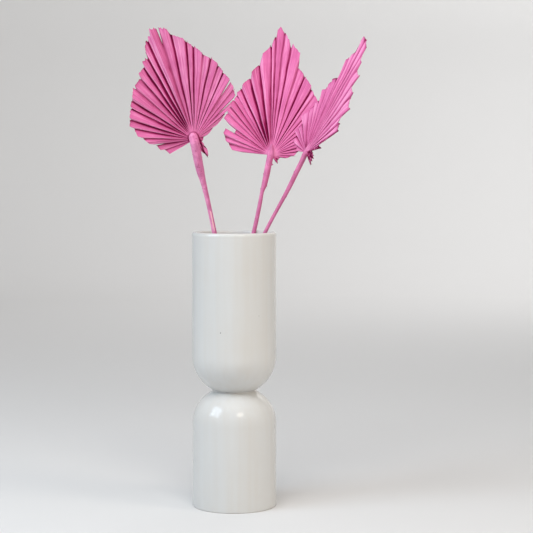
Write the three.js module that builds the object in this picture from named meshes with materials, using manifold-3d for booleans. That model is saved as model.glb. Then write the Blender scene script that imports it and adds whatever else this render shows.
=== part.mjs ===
// Three dried fan palm fronds, dyed pink and cut to spear shapes, in a waisted stoneware vase.
// Millimetres, +Z up. The origin is the centre of the vase's foot and the viewer is on the -Y side.
import * as THREE from "three";
import { mergeVertices } from "three/addons/utils/BufferGeometryUtils.js";
import Module from "manifold-3d";

// Vase: a straight upper body with a round bottom over a straight lower body with a domed top.
// They meet in a narrow waist. The wall is even, and the hollow runs from the rim to the floor.
const VASE_HEIGHT = 350;
const VASE_RADIUS = 53.5;
const WALL = 5.2;
const FLOOR = 6;
const FLOOR_CORNER = 8;
const FOOT_EDGE = 1.2;
const DOME_RADIUS = 45.4;
const DOME_START = 106.4;
const BOWL_RADIUS = 50.8;
const BOWL_START = 193;
const CREASE_EDGE = 28.5;
const CREASE_RADIUS = 26.9;
const NECK_RADIUS = 21;
const VASE_SIDES = 56;
const ARC_STEPS = 8;
const INNER_ARC_STEPS = 6;
const LIP_STEPS = 6;
const CORNER_STEPS = 3;
const FOOT_STEPS = 2;

// Blades: an even thickness, folded in pleats from near the junction to the cut edge. A ridge lies
// off the middle of its pleat, towards the lower side of the leaf in both halves. It rises less
// steeply further out. The lobes beyond the basal angle fall back behind the stalk.
const BLADE_THICKNESS = 1.1;
const BLADE_START = 6;
const RISE_FADES_AT = 120;
const RIDGE_OFFSET = 0.24;
const RIDGE_CENTRED_WITHIN = 10;
const RIDGE_SPREAD = 0.08;
const RISE_SPREAD = 0.42;
const VALLEY_GAP = 0.35;
const RING_STEPS = [0, 0.12, 0.28, 0.48, 0.72, 1];
const CUP_WIDTH = 80;
const BASAL_ANGLE = 70;

// Leaf stalks: an oval section, and the tongue that it runs out into on the blade
const STALK_SIDES = 12;
const STALK_DEPTH = 0.8;
const TONGUE_SINK = -0.5;
const COLLAR_SIDES = 14;
const COLLAR_RINGS = 8;

// Each leaf is given by the point where its stalk meets the blade, the direction of its tip and
// the direction that it faces. The other values are:
//   cup      how far the sides curl to the front at a distance of CUP_WIDTH from the axis
//   fall     how steeply the lowest lobes fall back, on the left and on the right
//   rise     the height of a ridge near the junction, as a share of its pleat's width
//   flatter  how high the ridges right of the axis are, as a share of those on the left
//   lift     how far the stalk lies in front of the blade's valleys
//   seed     for the small differences from pleat to pleat
//   collar   half sizes of the swelling where stalk and blade grow together
//   tongue   the end of the stalk on the blade: distance along the axis, width
//   stalk    points from the foot in the vase up to the blade: x, y, z, width
//   pleats   one row a pleat, clockwise as the viewer sees the leaf: the angle in degrees from the
//            leaf's axis of the valley where it starts, then how far out the blade is cut there,
//            at the ridge and just before the next valley, and for a tear where it ends
//   edge     the angle where the last pleat ends
const LEAVES = [
  {
    name: "palm_leaf_left",
    junction: [-46.4, -79.6, 465.2],
    tip: [-0.378, -0.2, 1],
    facing: [0.17, -1, -0.1],
    cup: 9,
    fall: [0.3, 0.3],
    rise: 0.4,
    flatter: 0.8,
    lift: 3.2,
    seed: 11,
    collar: [9, 12, 2.6],
    tongue: [[2.8, 11.2], [5.2, 10.2], [6.9, 8], [7.6, 6]],
    stalk: [
      [13.4, 30.4, 160.8, 5.4],
      [-5, -3.4, 254, 5.6],
      [-23.3, -39, 348.9, 5.8],
      [-31, -53, 389.1, 5.7],
      [-34.4, -57.9, 404.5, 6.3],
      [-37.2, -61.8, 416.3, 7.5],
      [-39.3, -64.8, 424.5, 9.4],
      [-41.7, -69.4, 436.2, 10.6],
      [-44.8, -76.2, 455, 11.2],
      [-46.4, -79.2, 463.5, 11.4],
    ],
    pleats: [
      [-101, 16, 34, 37],
      [-88, 37, 43, 46],
      [-76, 49, 55, 62, 35],
      [-66.5, 62, 69, 74],
      [-58, 74, 81, 82],
      [-51, 81, 84, 86],
      [-42, 85, 88, 90],
      [-36.5, 89, 92, 97],
      [-28, 94, 98, 99],
      [-20, 98, 105, 106],
      [-14, 106, 112, 115],
      [-8.5, 119, 127, 131],
      [-4, 131, 142, 143],
      [3, 141, 136, 130, 118],
      [9, 129, 123, 119],
      [16.5, 118, 114, 112],
      [21, 112, 106, 104],
      [27, 103, 101, 100],
      [32.5, 100, 97, 95],
      [39, 94, 90, 88],
      [44.5, 88, 85, 83],
      [52.5, 82, 79, 77, 60],
      [59, 77, 73, 69],
      [65, 66, 56, 50, 42],
      [71, 48, 34, 28],
      [80, 27, 18, 13],
      [97, 12, 11, 10],
      [124, 10, 15, 19],
      [146, 20, 27, 29],
      [164, 23, 17, 11],
    ],
    edge: 172,
  },
  {
    name: "palm_leaf_middle",
    junction: [46.7, 72, 447.9],
    tip: [0.078, 0.2, 1],
    facing: [-0.1, -1, 0.1],
    cup: 7,
    fall: [0.25, 0.25],
    rise: 0.38,
    flatter: 0.56,
    lift: 2.6,
    seed: 23,
    collar: [7.5, 11, 2.4],
    tongue: [[5, 8], [10, 5.6], [14, 2.2]],
    stalk: [
      [-12.6, -30.6, 160.6, 5.2],
      [6.4, 4.8, 256, 5.3],
      [24, 37.4, 345.5, 5.4],
      [26.4, 41.3, 355.9, 5.4],
      [30.1, 47, 373, 5.3],
      [32.8, 51.4, 386.5, 5.2],
      [35.9, 56.5, 402, 5.4],
      [37.2, 57.8, 405.8, 6.5],
      [40.6, 62.4, 419.8, 8],
      [43.6, 67.4, 435, 8.3],
      [46.1, 71.2, 446.5, 8.6],
    ],
    pleats: [
      [-87, 38, 52, 58],
      [-78, 58, 62, 66],
      [-71, 66, 69, 70],
      [-62.7, 56, 56, 57],
      [-57.9, 68, 79, 80],
      [-50, 80, 83, 85],
      [-44, 84, 87, 89],
      [-38, 88, 90, 92],
      [-33.5, 93, 95, 97],
      [-28, 97, 102, 107],
      [-19.5, 106, 114, 122],
      [-11.5, 123, 137, 147],
      [-4, 149, 155, 160],
      [-1.7, 168, 174, 166],
      [2, 165, 156, 147],
      [6.2, 151, 141, 129],
      [13, 121, 117, 113],
      [19, 113, 105, 101],
      [28, 101, 98, 97],
      [32, 97, 94, 93],
      [38, 92, 88, 86],
      [44, 86, 81, 79],
      [50, 79, 73, 70],
      [57, 70, 63, 60],
      [64, 58, 49, 46],
      [72, 45, 37, 35],
      [80, 34, 31, 29],
      [89, 26, 22, 18],
      [99, 12, 11, 10],
      [124, 10, 14, 10],
    ],
    edge: 142,
  },
  {
    name: "palm_leaf_right",
    junction: [89.9, -30.3, 450.5],
    tip: [0.529, -0.05, 1],
    facing: [-0.85, -0.4, 0.43],
    cup: 0,
    fall: [0, 0.8],
    rise: 0.22,
    flatter: 0.8,
    lift: 0.5,
    seed: 37,
    collar: [5.5, 9, 2.2],
    tongue: [[5, 5.4], [10, 3.6], [14, 1.6]],
    stalk: [
      [-44.2, -9.7, 185, 4.5],
      [-3.2, -17.2, 266, 4.5],
      [38.1, -25, 348.1, 4.5],
      [44.5, -25.6, 360.8, 4.5],
      [52.2, -26.4, 375.2, 4.5],
      [57.4, -27, 384.8, 4.7],
      [62.7, -27.5, 394.4, 5],
      [70.3, -28.2, 408.8, 5.7],
      [79, -29.2, 427, 6.2],
      [85.9, -29.9, 441, 6.4],
      [89.3, -30.2, 449, 6.6],
    ],
    pleats: [
      [-100, 18, 28, 35],
      [-88, 36, 44, 50],
      [-77, 62, 62, 61],
      [-70, 61, 60, 60],
      [-61, 67, 70, 70],
      [-48, 71, 72, 73],
      [-39, 73, 74, 75],
      [-31, 87, 89, 89],
      [-23.5, 91, 95, 98],
      [-18, 99, 100, 102],
      [-11.5, 116, 127, 129],
      [-8, 130, 134, 138],
      [-3.7, 153, 160, 158],
      [0, 157, 153, 150],
      [4.3, 137, 133, 131],
      [8.5, 119, 117, 118],
      [15.8, 102, 101, 101],
      [25, 91, 88, 90],
      [36, 78, 71, 70],
      [44, 70, 70, 70],
      [53, 50, 35, 30],
      [60, 30, 35, 36],
      [67, 15, 16, 14],
      [78, 14, 17, 14],
      [90, 13, 16, 12],
      [103, 13, 16, 13],
      [117, 12, 15, 12],
      [133, 12, 14, 11],
    ],
    edge: 150,
  },
];

// Colours of the photograph's soft daylight
const GLAZE = { color: 0xdcdad5, roughness: 0.28, metalness: 0 };
const DYED_LEAF = { color: 0xd0689f, roughness: 0.85, metalness: 0 };

const wasm = await Module();
wasm.setup();

// Seeded random numbers from 0 to 1, so that each run draws the same leaves.
function seededRandom(seed) {
  let state = seed;
  return () => {
    state = (state * 16807) % 2147483647;
    return state / 2147483647;
  };
}

// A closed mesh as a solid that can be joined to others.
function toSolid(geometry) {
  const bare = geometry.clone();
  bare.deleteAttribute("normal");
  bare.deleteAttribute("uv");
  const merged = mergeVertices(bare, 1e-4);
  return new wasm.Manifold(
    new wasm.Mesh({
      numProp: 3,
      vertProperties: merged.attributes.position.array,
      triVerts: new Uint32Array(merged.index.array),
    }),
  );
}

function toGeometry(solid) {
  const mesh = solid.getMesh();
  const geometry = new THREE.BufferGeometry();
  geometry.setAttribute("position", new THREE.BufferAttribute(mesh.vertProperties, 3));
  geometry.setIndex(new THREE.BufferAttribute(mesh.triVerts, 1));
  geometry.computeVertexNormals();
  return geometry;
}

function indexedGeometry(points, triangles) {
  const geometry = new THREE.BufferGeometry();
  geometry.setFromPoints(points);
  geometry.setIndex(triangles.flat());
  return geometry;
}

// Points of an arc in the profile plane, from one angle to another in degrees.
function arc(centreRadius, centreHeight, radius, from, to, steps) {
  const points = [];
  for (let i = 0; i <= steps; i++) {
    const angle = THREE.MathUtils.degToRad(from + ((to - from) * i) / steps);
    points.push(
      new THREE.Vector2(
        centreRadius + radius * Math.cos(angle),
        centreHeight + radius * Math.sin(angle),
      ),
    );
  }
  return points;
}

// The angle, in degrees, at which an arc about a centre reaches a distance from the axis.
function arcAngleAt(distance, centreRadius, radius) {
  return THREE.MathUtils.radToDeg(Math.acos((distance - centreRadius) / radius));
}

function vaseProfile() {
  const point = (r, z) => new THREE.Vector2(r, z);
  const domeCentre = VASE_RADIUS - DOME_RADIUS;
  const bowlCentre = VASE_RADIUS - BOWL_RADIUS;
  const domeEnd = arcAngleAt(CREASE_EDGE, domeCentre, DOME_RADIUS);
  const bowlEnd = arcAngleAt(CREASE_EDGE, bowlCentre, BOWL_RADIUS);
  const dome = arc(domeCentre, DOME_START, DOME_RADIUS, 0, domeEnd, ARC_STEPS);
  const bowl = arc(bowlCentre, BOWL_START, BOWL_RADIUS, -bowlEnd, 0, ARC_STEPS);
  const waist = (dome[ARC_STEPS].y + bowl[0].y) / 2;
  const creaseMiddle = (CREASE_EDGE + CREASE_RADIUS * 3) / 4;
  const foot = VASE_RADIUS - FOOT_EDGE;
  const lipCentre = VASE_RADIUS - WALL / 2;
  const innerDome = DOME_RADIUS - WALL;
  const innerBowl = BOWL_RADIUS - WALL;
  const domeNeck = arcAngleAt(NECK_RADIUS, domeCentre, innerDome);
  const bowlNeck = arcAngleAt(NECK_RADIUS, bowlCentre, innerBowl);
  const cornerCentre = VASE_RADIUS - WALL - FLOOR_CORNER;
  return [
    point(0, 0),
    ...arc(foot, FOOT_EDGE, FOOT_EDGE, -90, 0, FOOT_STEPS),
    ...dome,
    point(creaseMiddle, (dome[ARC_STEPS].y + waist) / 2),
    point(CREASE_RADIUS, waist),
    point(creaseMiddle, (bowl[0].y + waist) / 2),
    ...bowl,
    ...arc(lipCentre, VASE_HEIGHT - WALL / 2, WALL / 2, 0, 180, LIP_STEPS),
    ...arc(bowlCentre, BOWL_START, innerBowl, 0, -bowlNeck, INNER_ARC_STEPS),
    ...arc(domeCentre, DOME_START, innerDome, domeNeck, 0, INNER_ARC_STEPS),
    ...arc(cornerCentre, FLOOR + FLOOR_CORNER, FLOOR_CORNER, 0, -90, CORNER_STEPS),
    point(0, FLOOR),
  ];
}

function makeVase() {
  const geometry = new THREE.LatheGeometry(vaseProfile(), VASE_SIDES);
  const vase = new THREE.Mesh(geometry, new THREE.MeshStandardMaterial(GLAZE));
  vase.name = "vase";
  vase.rotation.x = Math.PI / 2;
  return vase;
}

// The lines that the blade is folded and cut along. Each has an angle, the distance to the cut
// edge and how much it rises above the valleys for each millimetre from the junction.
function bladeLines(leaf) {
  const random = seededRandom(leaf.seed);
  const lines = [];
  leaf.pleats.forEach(([start, atStart, atRidge, atEnd, tornTo], i) => {
    const next = i + 1 < leaf.pleats.length ? leaf.pleats[i + 1][0] : leaf.edge;
    const width = next - start;
    const half = THREE.MathUtils.clamp((start + width / 2) / RIDGE_CENTRED_WITHIN, -1, 1);
    const ridge = start + width * (0.5 + RIDGE_OFFSET * half + RIDGE_SPREAD * (2 * random() - 1));
    const rightward = start + width / 2 < 0 ? 1 : leaf.flatter;
    const rise = leaf.rise * rightward * (1 + RISE_SPREAD * (2 * random() - 1));
    if (tornTo) {
      lines.push({ angle: start, reach: tornTo, rise: 0 });
    }
    lines.push({ angle: start + VALLEY_GAP, reach: atStart, rise: 0 });
    lines.push({ angle: ridge, reach: atRidge, rise: rise * THREE.MathUtils.degToRad(width) });
    lines.push({ angle: next - VALLEY_GAP, reach: atEnd, rise: 0 });
  });
  return lines;
}

// The height of the middle of the blade over the flat plane through the junction.
function bladeHeight(leaf, line, distance) {
  const across = distance * Math.sin(THREE.MathUtils.degToRad(line.angle));
  const cup = leaf.cup * (across / CUP_WIDTH) ** 2;
  const pleat = (line.rise * distance) / (1 + distance / RISE_FADES_AT);
  const past = Math.max(0, Math.abs(line.angle) - BASAL_ANGLE) / (180 - BASAL_ANGLE);
  const fall = leaf.fall[line.angle < 0 ? 0 : 1] * Math.sqrt(past) * distance;
  return cup + pleat - leaf.lift - fall;
}

// A pleated blade: two faces with the same triangles, a thickness apart, and a wall round them.
function bladeGeometry(leaf) {
  const lines = bladeLines(leaf);
  const rings = RING_STEPS.length;
  const faceSize = lines.length * rings;
  const points = [];
  for (const side of [0.5, -0.5]) {
    for (const line of lines) {
      const angle = THREE.MathUtils.degToRad(line.angle);
      for (const step of RING_STEPS) {
        const distance = BLADE_START + (line.reach - BLADE_START) * step;
        const height = bladeHeight(leaf, line, distance) + side * BLADE_THICKNESS;
        points.push(
          new THREE.Vector3(distance * Math.sin(angle), distance * Math.cos(angle), height),
        );
      }
    }
  }
  const triangles = [];
  const addQuad = (a, b, c, d) => triangles.push([a, b, c], [a, c, d]);
  const front = (line, ring) => line * rings + ring;
  const back = (line, ring) => faceSize + front(line, ring);
  const last = lines.length - 1;
  for (let i = 0; i < last; i++) {
    for (let k = 0; k < rings - 1; k++) {
      addQuad(front(i, k), front(i + 1, k), front(i + 1, k + 1), front(i, k + 1));
      addQuad(back(i + 1, k + 1), back(i + 1, k), back(i, k), back(i, k + 1));
    }
    addQuad(front(i + 1, 0), front(i, 0), back(i, 0), back(i + 1, 0));
    addQuad(front(i, rings - 1), front(i + 1, rings - 1), back(i + 1, rings - 1), back(i, rings - 1));
  }
  for (let k = 0; k < rings - 1; k++) {
    addQuad(front(0, k), front(0, k + 1), back(0, k + 1), back(0, k));
    addQuad(front(last, k + 1), front(last, k), back(last, k), back(last, k + 1));
  }
  return indexedGeometry(points, triangles);
}

// The stalk's points in the leaf's own frame, with the tongue that tapers out on the blade.
function stalkPoints(leaf, frame) {
  const points = leaf.stalk.map(([x, y, z, width]) => ({
    place: frame.worldToLocal(new THREE.Vector3(x, y, z)),
    width,
  }));
  for (const [along, width] of leaf.tongue) {
    points.push({ place: new THREE.Vector3(0, along, leaf.lift * TONGUE_SINK), width });
  }
  return points;
}

// An oval tube through the stalk's points, flat at both ends.
function stalkGeometry(leaf, frame) {
  const stations = stalkPoints(leaf, frame);
  const viewer = new THREE.Vector3(0, -1, 0).applyQuaternion(frame.quaternion.clone().invert());
  const points = [];
  stations.forEach(({ place, width }, i) => {
    const before = stations[Math.max(0, i - 1)].place;
    const after = stations[Math.min(stations.length - 1, i + 1)].place;
    const along = after.clone().sub(before).normalize();
    const across = along.clone().cross(viewer).normalize();
    const deep = across.clone().cross(along);
    for (let k = 0; k < STALK_SIDES; k++) {
      const angle = (2 * Math.PI * k) / STALK_SIDES;
      points.push(
        place
          .clone()
          .addScaledVector(across, (width / 2) * Math.cos(angle))
          .addScaledVector(deep, (width / 2) * STALK_DEPTH * Math.sin(angle)),
      );
    }
  });
  const foot = points.push(stations[0].place.clone()) - 1;
  const top = points.push(stations[stations.length - 1].place.clone()) - 1;
  const triangles = [];
  const lastRing = (stations.length - 1) * STALK_SIDES;
  for (let k = 0; k < STALK_SIDES; k++) {
    const next = (k + 1) % STALK_SIDES;
    for (let ring = 0; ring < lastRing; ring += STALK_SIDES) {
      triangles.push([ring + k, ring + STALK_SIDES + k, ring + STALK_SIDES + next]);
      triangles.push([ring + k, ring + STALK_SIDES + next, ring + next]);
    }
    triangles.push([foot, k, next]);
    triangles.push([top, lastRing + next, lastRing + k]);
  }
  return indexedGeometry(points, triangles);
}

// The rounded collar where stalk and blade grow together.
function collarGeometry(leaf) {
  const geometry = new THREE.SphereGeometry(1, COLLAR_SIDES, COLLAR_RINGS);
  geometry.scale(...leaf.collar);
  geometry.translate(0, leaf.collar[1] - BLADE_START, -leaf.lift);
  return geometry;
}

// The frame of a leaf: X across the blade, Y along its axis and Z out of its face.
function leafFrame(leaf) {
  const along = new THREE.Vector3(...leaf.tip).normalize();
  const across = along.clone().cross(new THREE.Vector3(...leaf.facing)).normalize();
  const out = across.clone().cross(along);
  const frame = new THREE.Object3D();
  frame.position.set(...leaf.junction);
  frame.quaternion.setFromRotationMatrix(new THREE.Matrix4().makeBasis(across, along, out));
  frame.updateMatrixWorld();
  return frame;
}

function makeLeaf(leaf) {
  const frame = leafFrame(leaf);
  const frond = toSolid(bladeGeometry(leaf))
    .add(toSolid(stalkGeometry(leaf, frame)))
    .add(toSolid(collarGeometry(leaf)));
  const mesh = new THREE.Mesh(toGeometry(frond), new THREE.MeshStandardMaterial(DYED_LEAF));
  mesh.name = leaf.name;
  mesh.position.copy(frame.position);
  mesh.quaternion.copy(frame.quaternion);
  return mesh;
}

const palmLeavesInVase = new THREE.Group();
palmLeavesInVase.add(makeVase());
for (const leaf of LEAVES) {
  palmLeavesInVase.add(makeLeaf(leaf));
}

export default palmLeavesInVase;
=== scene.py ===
"""Three dried palm leaves, dyed pink and cut to spear shapes, in a waisted stoneware vase."""

import math
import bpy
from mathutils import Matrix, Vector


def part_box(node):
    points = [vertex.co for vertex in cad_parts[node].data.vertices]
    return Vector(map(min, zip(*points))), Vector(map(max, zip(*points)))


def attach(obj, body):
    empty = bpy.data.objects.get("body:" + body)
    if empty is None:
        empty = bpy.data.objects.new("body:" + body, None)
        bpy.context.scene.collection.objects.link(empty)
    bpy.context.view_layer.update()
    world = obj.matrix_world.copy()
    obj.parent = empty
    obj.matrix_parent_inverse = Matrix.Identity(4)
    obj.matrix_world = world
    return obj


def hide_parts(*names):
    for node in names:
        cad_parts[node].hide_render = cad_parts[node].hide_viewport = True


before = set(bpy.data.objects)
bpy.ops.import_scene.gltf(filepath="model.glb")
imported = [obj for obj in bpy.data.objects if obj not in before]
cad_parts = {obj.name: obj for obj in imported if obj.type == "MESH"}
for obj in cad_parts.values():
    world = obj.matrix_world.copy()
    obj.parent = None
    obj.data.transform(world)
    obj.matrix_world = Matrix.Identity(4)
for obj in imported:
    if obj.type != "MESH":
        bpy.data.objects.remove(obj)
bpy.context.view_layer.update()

from types import SimpleNamespace

import bpy
import numpy as np
from mathutils import Matrix, Vector, noise

bl_info = {
    "name": "Dried Palm Leaves in Vase",
    "version": (1, 0, 0),
    "blender": (4, 5, 0),
    "location": "View3D > Sidebar > Palm Vase",
    "description": "Builds three dyed palm leaves and the stoneware vase that holds them",
    "category": "Object",
}

MM = 0.001
VASE_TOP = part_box("vase")[1]

# The vase, in millimetres
WALL = 5.2
FLOOR = 6
FLOOR_CORNER = 8
FOOT_EDGE = 1.2
DOME_RADIUS = 45.4
DOME_START = 106.4
BOWL_RADIUS = 50.8
BOWL_START = 193
CREASE_EDGE = 28.5
CREASE_RADIUS = 26.9
NECK_RADIUS = 21
LIP_HEIGHT = 4.6
CREASE_SHARES = (0.15, 0.3, 0.5, 0.7, 0.85)
VASE_SIDES = 200
OUTER_STEPS = 36
INNER_STEPS = 20
EDGE_STEPS = 6
LIP_STEPS = 24
FOOT_POINTS = 8
LOWER_WALL_POINTS = 14
UPPER_WALL_POINTS = 20
# How far the wall is out of true, mostly inwards, and over what length
HAND_FINISH = 0.07
HAND_FINISH_INWARDS = 0.5
HAND_FINISH_LENGTH = 70

# Two marks in the glaze: a dark speck that the kiln left, and the painted shade of a small dip. Place
# and radius in millimetres, and how dark it is
MARKS = (
    ((-16.1, -51, 226.7), 0.8, 0.95),
    ((31.7, -43.1, 247.1), 1.4, 0.12),
)

# The blades, in millimetres and degrees. Rings of points follow each other out along the blade:
# beside the stalk, in the middle and at the cut edge. A face's steps go from its valley, 0, to
# its ridge, 1.
BLADE_START = 2.5
SHORTEST_VALLEY = 4.5
SHORTEST_LINE = 6.5
RING_COUNTS = (18, 30, 5)
NEAR_ZONE = 17
NEAR_ZONE_SHARE = 0.45
RIM_ZONE = 6
RIM_ZONE_SHARE = 0.2
FACE_STEPS = (0, 0.05, 0.12, 0.22, 0.34, 0.43, 0.5, 0.57, 0.7, 0.84, 0.93, 0.97, 1)
CREASE_STEP = FACE_STEPS[1]
MIDDLE_STEP = 0.5
RISE_FADES_AT = 120
RIDGE_OFFSET = 0.24
RIDGE_CENTRED_WITHIN = 10
RIDGE_ROUNDING = 0.03
VALLEY_GAP = 0.35
TEAR_WIDTH = 1
CUP_WIDTH = 80
BASAL_ANGLE = 70
CREASE_DEPTH = 0.6
CREASE_FULL_AT = 40
COLLAR_BASE = 6
COLLAR_SPREAD = 0.62
SHARP_ANGLE = 60
# The core fills the middle of the swelling: its radius, tone and turn of the fibres
CORE = 3.6
CORE_TONE = 0.7
CORE_TURN = 5
# How thick the cut edge is, as a share, and about how far in the blade has its full thickness
EDGE_THICKNESS = 0.6
FULL_THICKNESS_AT = 8
# Beside the stalk the folds are low, begin at this share of the smooth distance, and are flattened
# by the stalk's body, which is full over this share of its length
SMOOTH_HEIGHT = 0.25
FOLDS_FROM = 0.4
PEAK_FLATTENS = 0.8
PEAK_FULL = 0.4
# One unit of the fibre maps: degrees across a blade, and millimetres along it or a stalk
MAP_DEGREES = 10
MAP_LENGTH = 100

# What drying and cutting did to the blades. Spreads are the most that a draw adds or takes. Each
# leaf has its own draws and its own place in the noise.
DRAW_FACTOR = 16807
DRAW_PRIME = 2147483647
EXTRA_DRAWS = 1000
BLADE_NOISE = 7.3
STALK_NOISE = 3.1
RIDGE_SPREAD = 0.08
RISE_SPREAD = 0.42
BOW = 0.12
BOW_CENTRE = 0.35
FURROW = 0.16
FURROW_WIDTH = 0.07
# Thorns on the cut edge, beside some valleys, and notches in it at each valley: least and spread
THORN_LENGTH = 3.2
THORN_SHARE = 0.45
NOTCHES = (0.1, 1.2)
# The frayed edge: depth, waves in a degree and layer of the noise, and the reach of full depth
FRAY = ((0.9, 1.7, 0), (0.5, 9, 5))
FRAY_FULL_AT = 40
RAGGED_WAVES = 0.9
RAGGED_LAYER = 9
# Folds that wander: degrees, degrees and millimetres between waves, and from where it is full
WANDER = 0.45
WANDER_LENGTHS = (7, 30)
WANDER_FULL_AT = 30
# Waves of the whole blade and ripples across its pleats, and from where they are full
WAVE = 0.9
WAVE_LENGTH = 26
RIPPLE = 0.35
RIPPLE_LENGTHS = (3, 11)
WAVE_FULL_AT = 60
CURL = 1.3
CURL_LENGTH = 14
CLOSED_RISE = 0.8

# The tone is 0 where the colour is deep and 1 where it is light: the dye, with painted light and
# shade. Each pleat has a face after its valley, up to the ridge, and a face before the next valley.
# Their tones are partly painted light and shade: on the left half the narrow face after the valley
# is painted lighter against its shade.
VALLEY_TONE = 0.6
# The ridge line is painted lighter: a painted highlight
RIDGE_TONE = 0.92
BEFORE_TONE = 0.62
AFTER_TONE_LEFT = 0.84
AFTER_TONE_RIGHT = 0.68
GLOW = 0.1
# The furrow down the middle of a face is painted darker where it sinks and lighter where it rises:
# painted shade and painted light
FURROW_TONE = 1.6
OUTWARD_TONE = 0.06
OUTWARD_FROM = 0.3
# From where, as shares of the smooth distance, the dark bands of dye and painted shade lie in the
# valleys, and up to where the blade has the tone of its centre, and how much of it
DYE_FROM = 0.5
CENTRE_TO = 1.2
CENTRE_SHARE = 0.8
# The deep band beside a valley, of dye and painted shade: least width, shares of the face inwards
# and outwards, most width
BAND_BEFORE = (0.14, 0.62, 0.4, 1.1)
BAND_AFTER = (0.12, 0.08, 0.2)
# The painted highlight on the rib beside the band: how much lighter, how far from the valley and
# how wide
RIB = (0.12, 0.9, 0.6)
# How much the band fades at the cut edge, and over what length
BAND_FADE = 0.4
BAND_FADE_LENGTH = 14
# Some valleys end in a dark nick, painted shade in the notch at the cut edge. The cut edge is darker
# here and there, partly as painted shade where the tips curl back, in a rim that is narrower where
# its narrowing is larger: least and spread
NICK_TONE = 0.9
NICK_SHARE = 0.45
NICK_LENGTH = 3.5
EDGE_DARK_LENGTH = 1.8
RIM_NARROWING = (0.6, 2.4)
# Folds that are nearly shut get painted shade, less on the face after the valley
CLOSED_TONE = 1.4
CLOSED_AFTER = 0.3
# The blotched painted shadow on the lowest lobes, which lie behind the blade
SHADE_TONE = 0.22
SHADE_BLOTCH = 1.1
BLOTCH_LENGTH = 3
SHADE_FADE = 7
# The pale body of the stalk, and how much of its tone it has
PALE_TONE = 0.86
PALE_SHARE = 0.85
# The painted shadow line round the stalk's end: half the end's width, its start and length, the
# line's place and width, and how it grows darker from left to right
END_WIDTH = 5.7
END_START = 2.8
END_LENGTH = 6.1
END_LINE = (1.1, 0.12)
END_LINE_TONES = (0.7, 0.6)
END_LINE_TURNS = (-3, 4)

# The stalks, in millimetres. Each keeps its plain width where it rests on the vase: over a first
# length from its foot, and at the rim.
STALK_DEPTH = 0.8
STALK_SIDES = 32
STALK_STEP = 1.2
TONGUE_SINK = -0.5
CAP_ANGLES = (25, 48, 66, 80)
CAP_LENGTH = 0.25
CAP_TIP = 0.01
FOOT_REST = 10
RIM_REST = (170, 215)
# Knobs and flutes: how deep, waves round the stalk and length along it
KNOBS = (0.015, 1.2, 9)
FLUTES = (0.04, 4, 45)
# Burrs and the split skin: lengths in millimetres, widths and places as shares of the half width
BURR_LENGTH = 0.9
BURR_WIDTH = 0.3
BURR_FRONT = 0.3
SPLIT_WIDTH = 0.2
SPLIT_START = 8
SPLIT_TONE = 1.4
# The stalk's end is a little lighter and more even, with less painted side shade, between these rows
# of points before its last
ENDING_ROWS = (34, 6)
ENDING_TONE = 0.08
ENDING_EVEN = 0.8
# Stalks have no cut edge like the blade's: all of a stalk is this far from one
NO_EDGE = 9
CORE_SIDES = 32
CORE_RINGS = 16

# The stage, in metres and degrees
FLOOR_DISC = 0.6
TURN_RADIUS = 0.9
TURN_STEPS = 16
WALL_HEIGHT = 3.2
STAGE_SIDES = 96
LENS = 106.717
SENSOR = 36
CAMERA_PLACE = (0.0410, -2.0017, 0.4392)
CAMERA_PITCH = 3.807
WHITE = (1, 1, 1)
COOL = (0.7, 0.85, 1)
WARM = (1, 0.9, 0.78)
# The softboxes: place, target, width and height, and colour
LIGHTS = {
    "top": ((-0.2, -1.1, 2.1), (0, 0, 0.4), (1.2, 1.2), WHITE),
    "window": ((-1.4, -0.74, 1.28), (0, 0, 0.2), (0.95, 0.95), COOL),
    "front": ((0.72, -2.0, 1.65), (0, 0, 0.2), (0.68, 0.6), WARM),
    "side": ((1.7, -0.9, 0.9), (0, 0, 0.25), (0.6, 0.9), WARM),
    "backdrop": ((1.7, 2.6, 2.6), (0.8, 4.1, 1.6), (1.4, 0.8), WHITE),
}
SEEN_IN_GLAZE = ("window", "front")
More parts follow.
